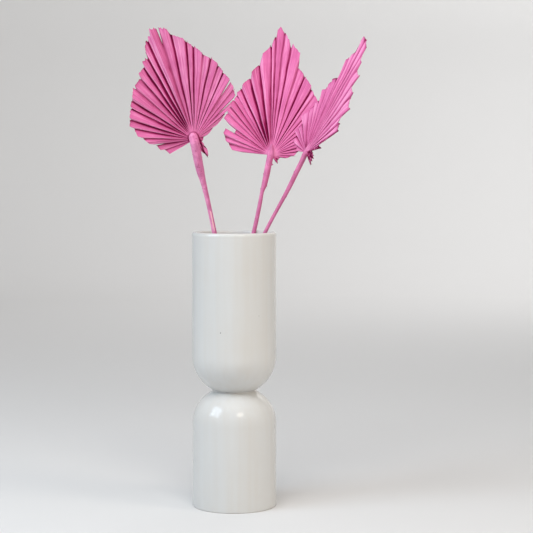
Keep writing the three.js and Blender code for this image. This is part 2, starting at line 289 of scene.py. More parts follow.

# The leaves, in millimetres and degrees. Angles go round the junction from the tip, to the right.
#   junction, tip, facing: where the stalk meets the blade, and the directions of tip and face
#   cup, fall, rise, lift: how its sides cup, its lowest lobes fall back on either side, its ridges
#     rise, and how far its blade lies behind its stalk
#   collar: half the width, half the length and the height of the swelling at the junction
#   tongue: the stalk's end on the blade, how far along and how wide
#   stalk: points from the foot up, and how wide
#   pleats: the angle of the valley where each starts, how far out it is cut there, at the ridge
#     and before the next valley, and for a tear where it ends. The last one ends at edge
#   flatter: height of the ridges on the right, as a share
#   smooth: how far from the junction the folds reach their full height
#   peak: width and length of the stalk's body, where it shows through above its end
#   ragged: from and to which angle the cut is ragged, and how deep
#   closed: angle, width, distance and length of the place where the folds are nearly shut, rise
#     higher and get painted shade
#   burrs: how far from the stalk's foot, on which side and how high
#   split: from where to where the stalk's skin is split off, and on which side
#   pale, right_tone: tone added to the blade, and painted light (above 0) or painted shade (below 0)
#     on its right half
#   line_tone, centre_tone, stalk_tone: tones of the valleys' lines of dye and painted shade, round
#     the junction, of the stalk
#   valleys: how dark the line in each valley is, of gathered dye and painted shade
#   shade, shaded, shade_depth: how dark the painted shadow is at the foot of the lowest lobes on the
#     right, between which angles it sets in, and how far out it reaches
#   burnt, arc: how dark the cut edge gets at most, partly as painted shade where the tips
#     curl back, and how dark the painted shadow line round the stalk's end is
LEAVES = {
    "palm_leaf_left": {
        "junction": (-46.4, -79.6, 465.2),
        "tip": (-0.378, -0.2, 1),
        "facing": (0.17, -1, -0.1),
        "cup": 9,
        "fall": (0.3, 0.3),
        "rise": 0.4,
        "lift": 3.2,
        "seed": 11,
        "collar": (9, 12, 2.6),
        "tongue": ((2.8, 11.2), (5.2, 10.2), (6.9, 8), (7.6, 6)),
        "stalk": (
            (13.4, 30.4, 160.8, 5.4), (-5, -3.4, 254, 5.6), (-23.3, -39, 348.9, 5.8),
            (-31, -53, 389.1, 5.7), (-34.4, -57.9, 404.5, 6.3), (-37.2, -61.8, 416.3, 7.5),
            (-39.3, -64.8, 424.5, 9.4), (-41.7, -69.4, 436.2, 10.6), (-44.8, -76.2, 455, 11.2),
            (-46.4, -79.2, 463.5, 11.4),
        ),
        "pleats": (
            (-101, 16, 34, 37), (-88, 37, 43, 46), (-76, 49, 55, 62, 35), (-66.5, 62, 69, 74),
            (-58, 74, 81, 82), (-51, 81, 84, 86), (-42, 85, 88, 90), (-36.5, 89, 92, 97),
            (-28, 94, 98, 99), (-20, 98, 105, 106), (-14, 106, 112, 115), (-8.5, 119, 127, 131),
            (-4, 131, 142, 143), (3, 141, 136, 130, 118), (9, 129, 123, 119),
            (16.5, 118, 114, 112), (21, 112, 106, 104), (27, 103, 101, 100),
            (32.5, 100, 97, 95), (39, 94, 90, 88), (44.5, 88, 85, 83), (52.5, 82, 79, 77, 60),
            (59, 77, 73, 69), (65, 66, 56, 50, 42), (71, 48, 34, 28), (80, 27, 18, 13),
            (97, 12, 11, 10), (124, 10, 15, 19), (146, 20, 27, 29), (164, 23, 17, 11),
        ),
        "edge": 172,
        "shade": 0.9,
        "shade_depth": 17,
        "pale": -0.01,
        "peak": (3.4, 26),
        "ragged": (-13, 8, 5.5),
        "burnt": 0.35,
        "arc": 1.3,
        "burrs": ((306, 0.9, 0.5), (262, -0.9, 0.5)),
        "split": (214, 236, 0.2),
        "smooth": 8,
        "stalk_tone": 1.02,
        "line_tone": -0.12,
        "centre_tone": 0.6,
        "right_tone": 0.0,
        "valleys": (
            0.4, 0.5, 0.6, 0.6, 0.8, 0.85, 0.7, 0.85, 0.45, 0.65, 0.85, 1, 1, 0.4, 0.95,
            0.9, 1, 0.05, 0.95, 0.5, 0.8, 0.1, 0.1, 0.1, 0.4, 0.4, 0.5, 0.5, 0.5, 0.5,
        ),
        "flatter": 0.8,
        "shaded": (76, 110),
        "closed": (-9, 6.5, 32, 22),
    },
    "palm_leaf_middle": {
        "junction": (46.7, 72, 447.9),
        "tip": (0.078, 0.2, 1),
        "facing": (-0.1, -1, 0.1),
        "cup": 7,
        "fall": (0.25, 0.25),
        "rise": 0.38,
        "lift": 2.6,
        "seed": 23,
        "collar": (7.5, 11, 2.4),
        "tongue": ((5, 8), (10, 5.6), (14, 2.2)),
        "stalk": (
            (-12.6, -30.6, 160.6, 5.2), (6.4, 4.8, 256, 5.3), (24, 37.4, 345.5, 5.4),
            (26.4, 41.3, 355.9, 5.4), (30.1, 47, 373, 5.3), (32.8, 51.4, 386.5, 5.2),
            (35.9, 56.5, 402, 5.4), (37.2, 57.8, 405.8, 6.5), (40.6, 62.4, 419.8, 8),
            (43.6, 67.4, 435, 8.3), (46.1, 71.2, 446.5, 8.6),
        ),
        "pleats": (
            (-87, 38, 52, 58), (-78, 58, 62, 66), (-71, 66, 69, 70), (-62.7, 56, 56, 57),
            (-57.9, 68, 79, 80), (-50, 80, 83, 85), (-44, 84, 87, 89), (-38, 88, 90, 92),
            (-33.5, 93, 95, 97), (-28, 97, 102, 107), (-19.5, 106, 114, 122),
            (-11.5, 123, 137, 147), (-4, 149, 155, 160), (-1.7, 168, 174, 166),
            (2, 165, 156, 147), (6.2, 151, 141, 129), (13, 121, 117, 113), (19, 113, 105, 101),
            (28, 101, 98, 97), (32, 97, 94, 93), (38, 92, 88, 86), (44, 86, 81, 79),
            (50, 79, 73, 70), (57, 70, 63, 60), (64, 58, 49, 46), (72, 45, 37, 35),
            (80, 34, 31, 29), (89, 26, 22, 18), (99, 12, 11, 10), (124, 10, 14, 10),
        ),
        "edge": 142,
        "shade": 0.8,
        "shade_depth": 30,
        "pale": -0.03,
        "peak": (5, 24),
        "ragged": (-4, 14, 3),
        "burnt": 0.35,
        "arc": 0,
        "burrs": ((298, 0.95, 2), (283, -0.95, 0.6), (268, 0.95, 0.8), (262, -0.95, 0.7)),
        "split": (0, 0, 0),
        "smooth": 13,
        "stalk_tone": 0.66,
        "line_tone": -0.1,
        "centre_tone": 0.98,
        "right_tone": -0.04,
        "valleys": (
            0.4, 0.4, 0.4, 0.2, 0.6, 0.2, 0.55, 0.55, 0.2, 0.95, 0.85, 0.75, 0.6, 0.6, 0.45,
            0.7, 0.35, 0.8, 0.85, 0.4, 0.35, 0.35, 0.6, 0.5, 0.4, 0.5, 0.5, 0.5, 0.5, 0.5,
        ),
        "flatter": 0.56,
        "shaded": (96, 120),
        "closed": (-20, 9, 28, 14),
    },
    "palm_leaf_right": {
        "junction": (89.9, -30.3, 450.5),
        "tip": (0.529, -0.05, 1),
        "facing": (-0.85, -0.4, 0.43),
        "cup": 0,
        "fall": (0, 0.8),
        "rise": 0.22,
        "lift": 0.5,
        "seed": 37,
        "collar": (5.5, 9, 2.2),
        "tongue": ((5, 5.4), (10, 3.6), (14, 1.6)),
        "stalk": (
            (-44.2, -9.7, 185, 4.5), (-3.2, -17.2, 266, 4.5), (38.1, -25, 348.1, 4.5),
            (44.5, -25.6, 360.8, 4.5), (52.2, -26.4, 375.2, 4.5), (57.4, -27, 384.8, 4.7),
            (62.7, -27.5, 394.4, 5), (70.3, -28.2, 408.8, 5.7), (79, -29.2, 427, 6.2),
            (85.9, -29.9, 441, 6.4), (89.3, -30.2, 449, 6.6),
        ),
        "pleats": (
            (-100, 18, 28, 35), (-88, 36, 44, 50), (-77, 62, 62, 61), (-70, 61, 60, 60),
            (-61, 67, 70, 70), (-48, 71, 72, 73), (-39, 73, 74, 75), (-31, 87, 89, 89),
            (-23.5, 91, 95, 98), (-18, 99, 100, 102), (-11.5, 116, 127, 129),
            (-8, 130, 134, 138), (-3.7, 153, 160, 158), (0, 157, 153, 150),
            (4.3, 137, 133, 131), (8.5, 119, 117, 118), (15.8, 102, 101, 101), (25, 91, 88, 90),
            (36, 78, 71, 70), (44, 70, 70, 70), (53, 50, 35, 30), (60, 30, 35, 36),
            (67, 15, 16, 14), (78, 14, 17, 14), (90, 13, 16, 12), (103, 13, 16, 13),
            (117, 12, 15, 12), (133, 12, 14, 11),
        ),
        "edge": 150,
        "shade": 1,
        "shade_depth": 60,
        "pale": 0.13,
        "peak": (3, 14),
        "ragged": (8, 60, 3),
        "burnt": 0.8,
        "arc": 0,
        "burrs": ((238, 0.9, 0.4), (270, -0.9, 0.4)),
        "split": (0, 0, 0),
        "smooth": 9,
        "stalk_tone": 0.66,
        "line_tone": -0.05,
        "centre_tone": 0.85,
        "right_tone": 0.07,
        "valleys": (
            0.3, 0.6, 0.6, 0.4, 0.7, 0.6, 0.45, 0.5, 0.6, 0.4, 0.6, 0.35, 0.3, 0.5,
            0.4, 0.35, 0.5, 0.6, 0.5, 0.7, 0.8, 0.8, 0.8, 0.8, 0.8, 0.8, 0.8, 0.8,
        ),
        "flatter": 0.8,
        "shaded": (50, 66),
        "closed": (-50, 10, 10, 6),
    },
}


def linear(colour):
    """An sRGB hex colour as linear red, green and blue."""
    parts = [int(colour[i : i + 2], 16) / 255 for i in (1, 3, 5)]
    return tuple(p / 12.92 if p <= 0.04045 else ((p + 0.055) / 1.055) ** 2.4 for p in parts)


def opaque(colour):
    return (*colour, 1)


def smoothstep(low, high, value):
    """From 0 at the low value to 1 at the high one, smooth at both."""
    share = np.clip((value - low) / (high - low), 0, 1)
    return share * share * (3 - 2 * share)


def bell(distance, width):
    """1 at no distance, and softly less to both sides."""
    return math.exp(-((distance / width) ** 2))


def noise_at(x, y, z):
    """Smooth noise from -1 to 1."""
    return noise.noise(Vector((x, y, z)))


def colour_property(name, description, colour):
    """A colour that the user may change, from its sRGB hex value."""
    return bpy.props.FloatVectorProperty(
        name=name, description=description, default=linear(colour), min=0, max=1, subtype="COLOR"
    )


def length_property(name, description, default, least):
    """A length in metres that the user may change."""
    return bpy.props.FloatProperty(
        name=name, description=description, default=default, min=least, unit="LENGTH"
    )


def power_property(name, description, default):
    """A lamp's power in watts that the user may change."""
    return bpy.props.FloatProperty(
        name=name, description=description, default=default, min=0, unit="POWER"
    )


class VaseSettings(bpy.types.PropertyGroup):
    height: length_property(
        "Height", "Height of the vase from its foot to the top of the rim", VASE_TOP.z, 0.05
    )
    radius: length_property(
        "Radius", "Outer radius of the straight parts of the vase", VASE_TOP.x, 0.03
    )
    glaze: colour_property("Glaze", "Colour of the glaze", "#D0D0CE")
    glaze_warm: colour_property(
        "Thin glaze", "Colour where the glaze is thin and the clay shows through a little", "#CCC6BD"
    )
    speck: colour_property("Speck", "Colour of the few iron specks in the glaze", "#8D7A68")
    # The colour of the kiln speck, and of the painted shade in the small dip
    mark: colour_property("Mark", "Colour of the two marks from the kiln", "#4A4640")
    clay: colour_property("Bare clay", "Colour of the unglazed underside", "#C9BBA6")


class LeafSettings(bpy.types.PropertyGroup):
    thickness: length_property("Thickness", "Thickness of the dried blades", 0.6 * MM, 0.2 * MM)
    dye: colour_property("Dye", "Colour of the dyed faces between the folds", "#D86FA4")
    # The light dye, which is also the colour of the painted highlight on the ridges
    light_dye_and_highlight: colour_property(
        "Light dye", "Colour of the ridges and fibres that took less dye", "#EE98C4"
    )
    # The deep dye, which is also the colour of the painted shade in the creases, shut folds and
    # shadowed lobes, and round the stalk's end
    deep_dye_and_shade: colour_property(
        "Deep dye", "Colour of the creases where the dye gathered", "#8A0648"
    )
    fibre: colour_property(
        "Fibre", "Colour of the bare fibres where the skin of a stalk has split off", "#F6C4C4"
    )
    stalk: colour_property("Stalk", "Colour of the dyed stalks", "#D074A2")
    vein_angle: bpy.props.FloatProperty(
        name="Vein spacing",
        description="Angle between the coarse veins of a blade",
        default=math.radians(1.3),
        min=math.radians(0.2),
        subtype="ANGLE",
    )


class StageSettings(bpy.types.PropertyGroup):
    floor: colour_property("Floor", "Colour of the plain floor and backdrop", "#DAD9D8")
    sky: colour_property("Sky colour", "Colour of the even light from all round", "#F4F5F7")
    sky_strength: bpy.props.FloatProperty(
        name="Sky", description="Strength of the even light from all round", default=0.375, min=0
    )
    floor_radius: length_property(
        "Floor radius", "How far the flat floor reaches before it turns up into the backdrop", 3.2, 1
    )
    top_power: power_property("Top light", "Power of the large light above and in front", 27)
    window_power: power_property("Window light", "Power of the light from the upper left", 16.5)
    front_power: power_property("Front light", "Power of the light from the front right", 8)
    side_power: power_property("Side light", "Power of the light from the right", 10.5)
    backdrop_power: power_property(
        "Backdrop light", "Power of the wide light that washes the backdrop from the right", 54
    )


def add_node(tree, kind, inputs=None, **settings):
    """Add a node with its settings, and set its inputs or link them to a socket or to a node.

    Of a node it takes the first output that is in use.
    """
    node = tree.nodes.new("ShaderNode" + kind)
    for name, value in settings.items():
        if name == "stops":
            ramp = node.color_ramp.elements
            while len(ramp) < len(value):
                ramp.new(1)
            for element, (place, colour) in zip(ramp, value):
                element.position = place
                element.color = opaque(colour)
        else:
            setattr(node, name, value)
    for name, value in (inputs or {}).items():
        if isinstance(value, bpy.types.Node):
            value = next(output for output in value.outputs if output.enabled)
        if isinstance(value, bpy.types.NodeSocket):
            tree.links.new(value, node.inputs[name])
        else:
            node.inputs[name].default_value = value
    return node


def new_material(name):
    """A material with an empty node tree."""
    material = bpy.data.materials.new(name)
    material.use_nodes = True
    material.node_tree.nodes.clear()
    return material


def finish_material(material, shader, relief=None, strength=0, depth=0):
    """Give a material its shader, with a relief that is so many millimetres deep."""
    tree = material.node_tree
    if relief:
        bump = {"Height": relief, "Strength": strength, "Distance": depth * MM}
        shader = {**shader, "Normal": add_node(tree, "Bump", bump)}
    add_node(tree, "OutputMaterial", {"Surface": add_node(tree, "BsdfPrincipled", shader)})
    return material


def satin_glazed_stoneware(settings):
    """Dipped stoneware glaze, fired satin: even and off-white, with a soft broad highlight."""
    material = new_material("satin_glazed_stoneware")
    tree = material.node_tree
    place = add_node(tree, "TexCoord").outputs["Object"]
    # Uneven thickness of the dipped glaze, in clouds about 60 mm across
    cloud = add_node(tree, "TexNoise", {"Vector": place, "Scale": 16, "Detail": 3, "Roughness": 0.5})
    thin = add_node(
        tree, "MapRange", {"Value": cloud, "From Min": 0.42, "From Max": 0.8, "To Max": 0.28}
    )
    # The glaze ran down in bands about 9 mm wide that are a little warmer
    run_place = add_node(tree, "Mapping", {"Vector": place, "Scale": (110, 110, 4)})
    runs = add_node(
        tree, "TexNoise", {"Vector": run_place, "Scale": 1, "Detail": 2, "Roughness": 0.5}
    )
    band = add_node(
        tree, "MapRange", {"Value": runs, "From Min": 0.4, "From Max": 0.75, "To Max": 0.3}
    )
    # Iron specks about 1 mm across, in one cell of 14 mm out of ten
    cells = add_node(tree, "TexVoronoi", {"Vector": place, "Scale": 72})
    near = add_node(
        tree,
        "MapRange",
        {"Value": cells, "From Min": 0.025, "From Max": 0.06, "To Min": 1, "To Max": 0},
    )
    draw = add_node(tree, "SeparateColor", {"Color": cells.outputs["Color"]})
    chosen = add_node(tree, "Math", {0: draw, 1: 0.9}, operation="GREATER_THAN")
    speck = add_node(tree, "Math", {0: near, 1: chosen}, operation="MULTIPLY")
    faint = add_node(tree, "Math", {0: speck, 1: 0.6}, operation="MULTIPLY")
    warm = opaque(settings.glaze_warm)
    layers = [(thin, warm), (band, warm), (faint, opaque(settings.speck))]
    # The kiln speck, and the painted shade of a small dip
    for point, radius, strength in MARKS:
        centre = [c * MM for c in point]
        away = add_node(tree, "VectorMath", {0: place, 1: centre}, operation="DISTANCE")
        fade = {"From Min": radius * MM / 2, "From Max": radius * MM, "To Min": strength, "To Max": 0}
        mark = add_node(tree, "MapRange", {"Value": away, **fade})
        layers.append((mark, opaque(settings.mark)))
    # Soft ripple of the fired glaze, 3 mm from wave to wave
    ripple = add_node(
        tree, "TexNoise", {"Vector": place, "Scale": 330, "Detail": 2, "Roughness": 0.45}
    )
    colour = opaque(settings.glaze)
    for share, over in layers:
        colour = add_node(tree, "Mix", {0: share, 6: colour, 7: over}, data_type="RGBA")
    shader = {"Base Color": colour, "Roughness": 0.17, "IOR": 1.5}
    return finish_material(material, shader, ripple, 0.25, 0.06)


def bare_stoneware(settings):
    """Fired clay left unglazed where the vase stood in the kiln: sandy and quite matt."""
    material = new_material("bare_stoneware")
    tree = material.node_tree
    place = add_node(tree, "TexCoord").outputs["Object"]
    # Grog of about 0.8 mm
    grog = add_node(tree, "TexNoise", {"Vector": place, "Scale": 1200, "Detail": 3, "Roughness": 0.6})
    clay, darker = opaque(settings.clay), opaque([c * 0.72 for c in settings.clay])
    colour = add_node(tree, "Mix", {0: grog, 6: clay, 7: darker}, data_type="RGBA")
    shader = {"Base Color": colour, "Roughness": 0.9, "IOR": 1.5}
    return finish_material(material, shader, grog, 0.5, 0.15)


def dyed_palm_blade(settings):
    """Dried and dip-dyed palm leaf: matt and fibrous, with deeper dye and painted shade in the creases,
    and painted light and shade on its folds.
    """
    material = new_material("dyed_palm_blade")
    tree = material.node_tree
    fibres = add_node(tree, "UVMap", uv_map="Fibres")
    place = add_node(tree, "TexCoord").outputs["Object"]
    trait = add_node(tree, "SeparateXYZ", {"Vector": add_node(tree, "UVMap", uv_map="Traits")})
    grown = add_node(tree, "SeparateXYZ", {"Vector": add_node(tree, "UVMap", uv_map="Growth")})
    # Veins run along the blade, and change along it in about 60 mm
    spacing = math.degrees(settings.vein_angle) / MAP_DEGREES
    vein_place = add_node(tree, "Mapping", {"Vector": fibres, "Scale": (1 / spacing, 1.6, 1)})
    veins = add_node(
        tree, "TexNoise", {"Vector": vein_place, "Scale": 1, "Detail": 4, "Roughness": 0.65}
    )
    # Single fibres are about 0.3 mm apart and are drawn three times as coarse, to show at all
    fibre_place = add_node(tree, "Mapping", {"Vector": fibres, "Scale": (3.2 / spacing, 5, 1)})
    single = add_node(
        tree, "TexNoise", {"Vector": fibre_place, "Scale": 1, "Detail": 2, "Roughness": 0.6}
    )
    # Patches where the dye took unevenly, about 30 mm across
    patches = add_node(
        tree, "TexNoise", {"Vector": place, "Scale": 34, "Detail": 3, "Roughness": 0.55}
    )
    # The tone of each point, with its painted light and shade, carries most of the colour, then veins,
    # fibres and patches
    tone = add_node(tree, "MapRange", {"Value": trait, "From Max": 0.9, "To Max": 0.84})
    for source, weight in ((veins, 0.36), (single, 0.24), (patches, 0.2)):
        spread = {"From Min": 0.25, "From Max": 0.75, "To Min": -weight / 2, "To Max": weight / 2}
        share = add_node(tree, "MapRange", {"Value": source, **spread}, clamp=False)
        tone = add_node(tree, "Math", {0: tone, 1: share}, operation="ADD")
    # A painted highlight along the ridges, where the tone is highest
    ridge = add_node(
        tree,
        "MapRange",
        {"Value": trait, "From Min": 0.9, "From Max": 1, "To Max": 0.3},
        interpolation_type="SMOOTHSTEP",
    )
    tone = add_node(tree, "Math", {0: tone, 1: ridge}, operation="ADD")
    deep, main, light = Vector(settings.deep_dye_and_shade), Vector(settings.dye), Vector(settings.light_dye_and_highlight)
    dyed = add_node(
        tree,
        "ValToRGB",
        {"Fac": tone},
        stops=(
            (0, deep * 0.55),
            (0.12, deep),
            (0.32, deep.lerp(main, 0.55)),
            (0.66, main),
            (0.94, light),
            (1, light * 1.12),
        ),
    )
    # The cut edge is darker here and there, for about a millimetre, partly as painted shade where the
    # tips curl back
    rim = add_node(
        tree,
        "MapRange",
        {"Value": trait.outputs["Y"], "From Max": 1.5, "To Min": 0.2, "To Max": 0},
        interpolation_type="SMOOTHSTEP",
    )
    # Next to the stalk the blade is as pale as the stalk itself
    like_stalk = add_node(
        tree,
        "MapRange",
        {"Value": grown, "From Min": 0.1, "From Max": 0.8, "To Max": 0.6},
        interpolation_type="SMOOTHSTEP",
    )
    colour = dyed
    for share, over in ((rim, deep), (like_stalk, settings.stalk)):
        colour = add_node(tree, "Mix", {0: share, 6: colour, 7: opaque(over)}, data_type="RGBA")
    rough = add_node(
        tree,
        "MapRange",
        {"Value": single, "From Min": 0.3, "From Max": 0.7, "To Min": 0.62, "To Max": 0.8},
    )
    relief = add_node(tree, "Math", {0: veins, 1: single}, operation="ADD")
    shader = {"Base Color": colour, "Roughness": rough, "IOR": 1.45, "Specular IOR Level": 0.2}
    return finish_material(material, shader, relief, 0.55, 0.3)


def dyed_palm_stalk(settings):
    """Dried and dip-dyed leaf stalk: smoother than the blade, with long pale streaks and painted light
    and shade on its sides.
    """
    material = new_material("dyed_palm_stalk")
    tree = material.node_tree
    fibres = add_node(tree, "UVMap", uv_map="Fibres")
    place = add_node(tree, "TexCoord").outputs["Object"]
    trait = add_node(tree, "SeparateXYZ", {"Vector": add_node(tree, "UVMap", uv_map="Traits")})
    grown = add_node(tree, "SeparateXYZ", {"Vector": add_node(tree, "UVMap", uv_map="Growth")})
    # The map has two units round the stalk. Streaks are about 1 mm wide and 45 mm long, blotches
    # 9 mm across
    streak_place = add_node(tree, "Mapping", {"Vector": fibres, "Scale": (7, 2.2, 1)})
    streaks = add_node(
        tree, "TexNoise", {"Vector": streak_place, "Scale": 1, "Detail": 4, "Roughness": 0.6}
    )
    blotches = add_node(
        tree, "TexNoise", {"Vector": place, "Scale": 110, "Detail": 3, "Roughness": 0.5}
    )
    pattern = add_node(tree, "Math", {0: streaks, 1: blotches}, operation="ADD")
    spread = add_node(
        tree,
        "MapRange",
        {"Value": pattern, "From Min": 0.6, "From Max": 1.4, "To Min": -0.76, "To Max": 0.16},
    )
    # Painted light and shade: the stalk's side towards the viewer's left is lighter, its right side
    # darker
    side_shade = add_node(
        tree,
        "MapRange",
        {"Value": grown.outputs["Y"], "From Min": -0.7, "From Max": 1, "To Min": 0.14, "To Max": -0.45},
        interpolation_type="SMOOTHSTEP",
    )
    # Small dark flecks, in cells of 2.4 mm, where the skin is nicked
    nicks = add_node(tree, "TexNoise", {"Vector": place, "Scale": 420, "Detail": 1, "Roughness": 0.5})
    fleck = add_node(
        tree, "MapRange", {"Value": nicks, "From Min": 0.66, "From Max": 0.72, "To Max": -0.8}
    )
    level = spread
    for part in (trait, side_shade, fleck):
        level = add_node(tree, "Math", {0: level, 1: part}, operation="ADD")
    main = Vector(settings.stalk)
    dyed = add_node(
        tree,
        "ValToRGB",
        {"Fac": level},
        stops=(
            (0, Vector(settings.deep_dye_and_shade).lerp(main, 0.55)),
            (0.25, main * 0.84),
            (0.55, main),
            (1, Vector(settings.light_dye_and_highlight)),
        ),
    )
    # The skin has split off in one strip and left the paler fibres under it
    stripped = add_node(tree, "MapRange", {"Value": trait, "From Min": 1.3, "From Max": 2})
    fibre = opaque(settings.fibre)
    colour = add_node(tree, "Mix", {0: stripped, 6: dyed, 7: fibre}, data_type="RGBA")
    shader = {"Base Color": colour, "Roughness": 0.6, "IOR": 1.45, "Specular IOR Level": 0.4}
    return finish_material(material, shader, streaks, 0.5, 0.35)


def studio_paint(settings):
    """Matt paint, rolled on the studio's floor and wall: plain and even."""
    colour = opaque(settings.floor)
    shader = {"Base Color": colour, "Roughness": 0.9, "Specular IOR Level": 0.2}
    return finish_material(new_material("studio_paint"), shader)


def new_object(name, points, faces, materials):
    """A smooth-shaded mesh object of points in metres."""
    mesh = bpy.data.meshes.new(name)
    mesh.from_pydata(np.asarray(points).tolist(), [], faces)
    for material in materials:
        mesh.materials.append(material)
    mesh.shade_smooth()
    obj = bpy.data.objects.new(name, mesh)
    bpy.context.scene.collection.objects.link(obj)
    return obj


def paint_map(mesh, name, values):
    """A UV map from a pair of values at each vertex."""
    corners = np.empty(len(mesh.loops), np.int32)
    mesh.loops.foreach_get("vertex_index", corners)
    layer = mesh.uv_layers.new(name=name)
    layer.uv.foreach_set("vector", np.asarray(values, np.float32)[corners].ravel())


def arc(centre_radius, centre_height, radius, start, end, steps):
    """Points of an arc in the profile plane, from one angle to another in degrees."""
    angles = np.radians(np.linspace(start, end, steps + 1))
    radii = centre_radius + radius * np.cos(angles)
    return list(zip(radii, centre_height + radius * np.sin(angles)))


def vase_profile(height, radius):
    """Outer wall, lip and inner wall of the vase, from the foot's centre to the floor's."""
    dome_centre = radius - DOME_RADIUS
    bowl_centre = radius - BOWL_RADIUS
    dome_end = math.degrees(math.acos((CREASE_EDGE - dome_centre) / DOME_RADIUS))
    bowl_end = math.degrees(math.acos((CREASE_EDGE - bowl_centre) / BOWL_RADIUS))
    dome = arc(dome_centre, DOME_START, DOME_RADIUS, 0, dome_end, OUTER_STEPS)
    bowl = arc(bowl_centre, BOWL_START, BOWL_RADIUS, -bowl_end, 0, OUTER_STEPS)
    crease_low, crease_high = dome[-1][1], bowl[0][1]
    crease = [
        (
            CREASE_EDGE - (CREASE_EDGE - CREASE_RADIUS) * math.sin(math.pi * t),
            crease_low + (crease_high - crease_low) * t,
        )
        for t in CREASE_SHARES
    ]
    inner_dome = DOME_RADIUS - WALL
    inner_bowl = BOWL_RADIUS - WALL
    dome_neck = math.degrees(math.acos((NECK_RADIUS - dome_centre) / inner_dome))
    bowl_neck = math.degrees(math.acos((NECK_RADIUS - bowl_centre) / inner_bowl))
    lower_heights = np.linspace(FOOT_EDGE, DOME_START, LOWER_WALL_POINTS)
    upper_heights = np.linspace(BOWL_START, height - LIP_HEIGHT, UPPER_WALL_POINTS)
    corner = radius - WALL - FLOOR_CORNER
    lip = [
        (radius - WALL / 2 * (1 - math.cos(a)), height - LIP_HEIGHT * (1 - math.sin(a)))
        for a in (math.pi * k / LIP_STEPS for k in range(LIP_STEPS + 1))
    ]
    return [
        *((r, 0) for r in np.linspace(0, radius - FOOT_EDGE, FOOT_POINTS)[:-1]),
        *arc(radius - FOOT_EDGE, FOOT_EDGE, FOOT_EDGE, -90, 0, EDGE_STEPS),
        *((radius, z) for z in lower_heights[1:-1]),
        *dome,
        *crease,
        *bowl,
        *((radius, z) for z in upper_heights[1:-1]),
        *lip,
        *arc(bowl_centre, BOWL_START, inner_bowl, 0, -bowl_neck, INNER_STEPS),
        *arc(dome_centre, DOME_START, inner_dome, dome_neck, 0, INNER_STEPS),
        *arc(corner, FLOOR + FLOOR_CORNER, FLOOR_CORNER, 0, -90, EDGE_STEPS),
        (corner / 2, FLOOR),
        (0, FLOOR),
    ]


def lathe(profile, sides):
    """Points and faces of a profile turned about Z. It starts and ends on the axis."""
    points = [(0, 0, profile[0][1])]
    for r, z in profile[1:-1]:
        for k in range(sides):
            angle = 2 * math.pi * k / sides
            points.append((r * math.cos(angle), r * math.sin(angle), z))
    top = len(points)
    points.append((0, 0, profile[-1][1]))
    faces = []
    for k in range(sides):
        following = (k + 1) % sides
        faces.append((0, 1 + following, 1 + k))
        faces.append((top, top - sides + k, top - sides + following))
        for ring in range(1, top - sides, sides):
            faces.append((ring + k, ring + following, ring + sides + following, ring + sides + k))
    return np.array(points), faces


class PALMVASE_OT_add_vase(bpy.types.Operator):
    """Turn the vase about its axis and glaze it"""

    bl_idname = "palm_vase.add_vase"
    bl_label = "Add Stoneware Vase"
    bl_options = {"REGISTER", "UNDO"}

    def execute(self, context):
        settings = context.scene.palm_vase_vase
        profile = vase_profile(settings.height / MM, settings.radius / MM)
        points, faces = lathe(profile, VASE_SIDES)
        # The hand that wiped the clay left the wall a little out of true
        for point in points:
            wave = noise.noise(Vector(point) / HAND_FINISH_LENGTH)
            reach = math.hypot(point[0], point[1])
            if reach > NECK_RADIUS:
                point[:2] *= 1 + HAND_FINISH * (wave - HAND_FINISH_INWARDS) / reach
        materials = [satin_glazed_stoneware(settings), bare_stoneware(settings)]
        vase = new_object("stoneware_vase", points * MM, faces, materials)
        for face in vase.data.polygons:
            if face.center.z < FOOT_EDGE * MM / 4:
                face.material_index = 1
        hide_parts("vase")
        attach(vase, "root")
        return {"FINISHED"}


def seeded_random(seed):
    """Numbers from 0 to 1, the same in every run."""
    state = seed
    while True:
        state = state * DRAW_FACTOR % DRAW_PRIME
        yield state / DRAW_PRIME


def leaf_axes(leaf):
    """The leaf's own axes as the columns of a matrix: across, along and out of its face."""
    along = Vector(leaf.tip).normalized()
    across = along.cross(Vector(leaf.facing)).normalized()
    out = across.cross(along)
    return np.array([across, along, out]).T


